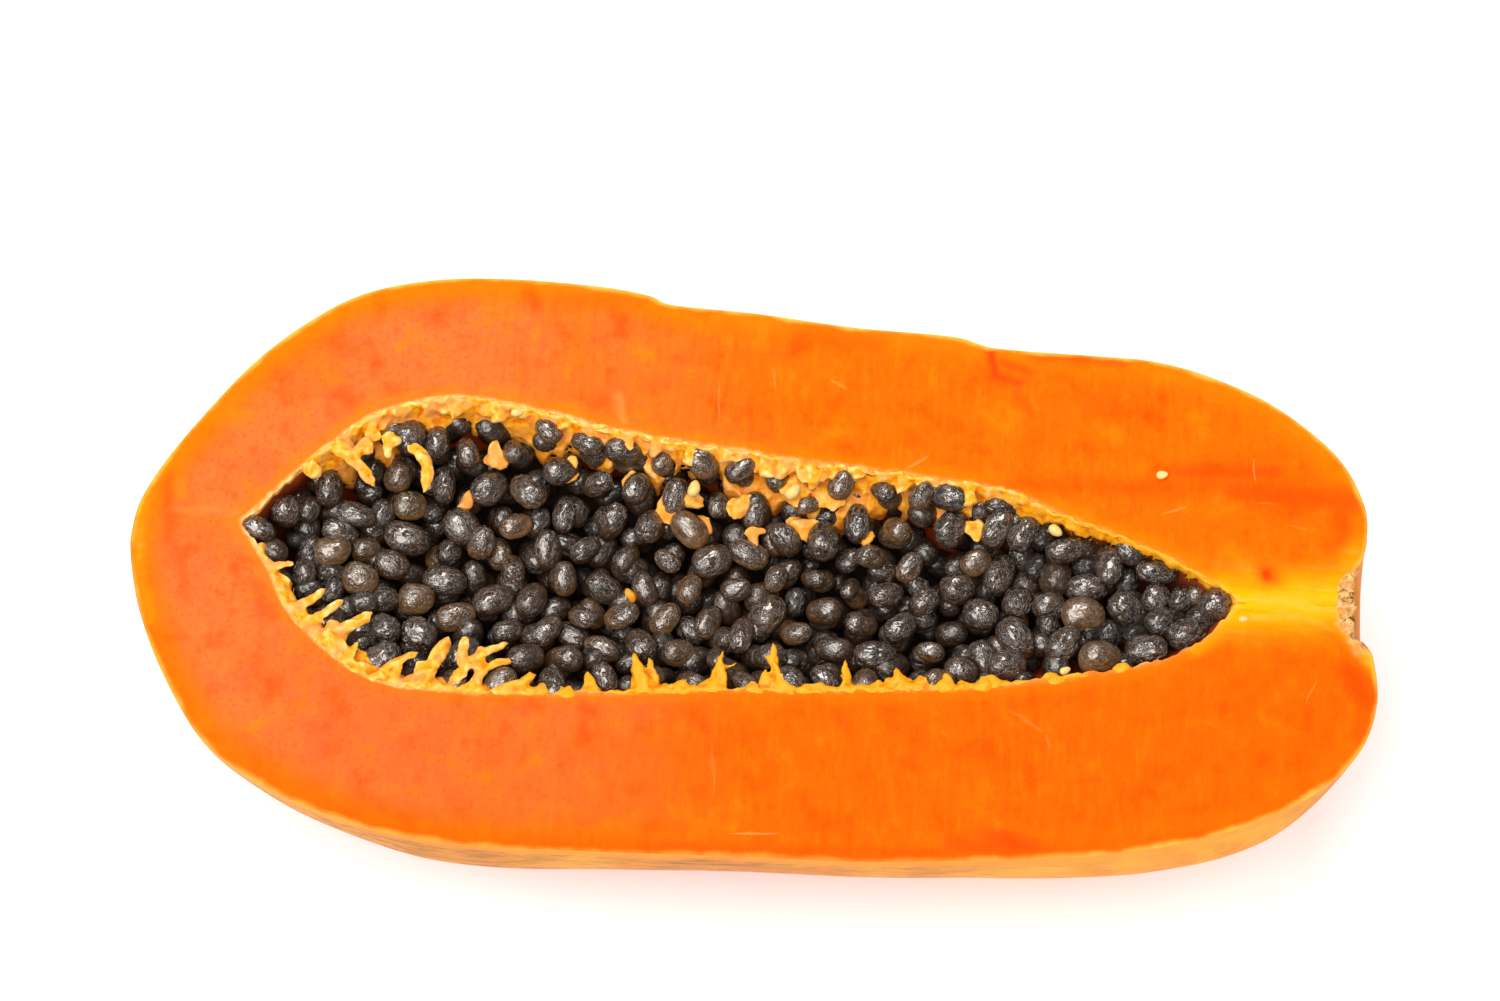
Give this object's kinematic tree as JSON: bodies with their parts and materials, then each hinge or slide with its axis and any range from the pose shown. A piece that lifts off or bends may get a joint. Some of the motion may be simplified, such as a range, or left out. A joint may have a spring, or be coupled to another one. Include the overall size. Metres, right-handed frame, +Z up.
{
  "type": "papaya half",
  "caption": "Ripe papaya cut in half lengthwise, lying on its skin with the cut face up and its dark seeds still in the long hollow.",
  "frame": {"origin": "on the surface the half rests on, under the middle of its box", "axes": "+X from the blossom end to the stem end, +Y to the far side of the cut face, +Z up, out of the cut face"},
  "size_m": [0.2484, 0.1212, 0.0569],
  "materials": {
    "flesh": "moist orange flesh inside a thin yellow-tan skin",
    "seeds": "wet, wrinkled, near-black"
  },
  "bodies": {
    "root": {"papaya_half": "flesh", "seeds": "seeds"}
  },
  "joints": []
}
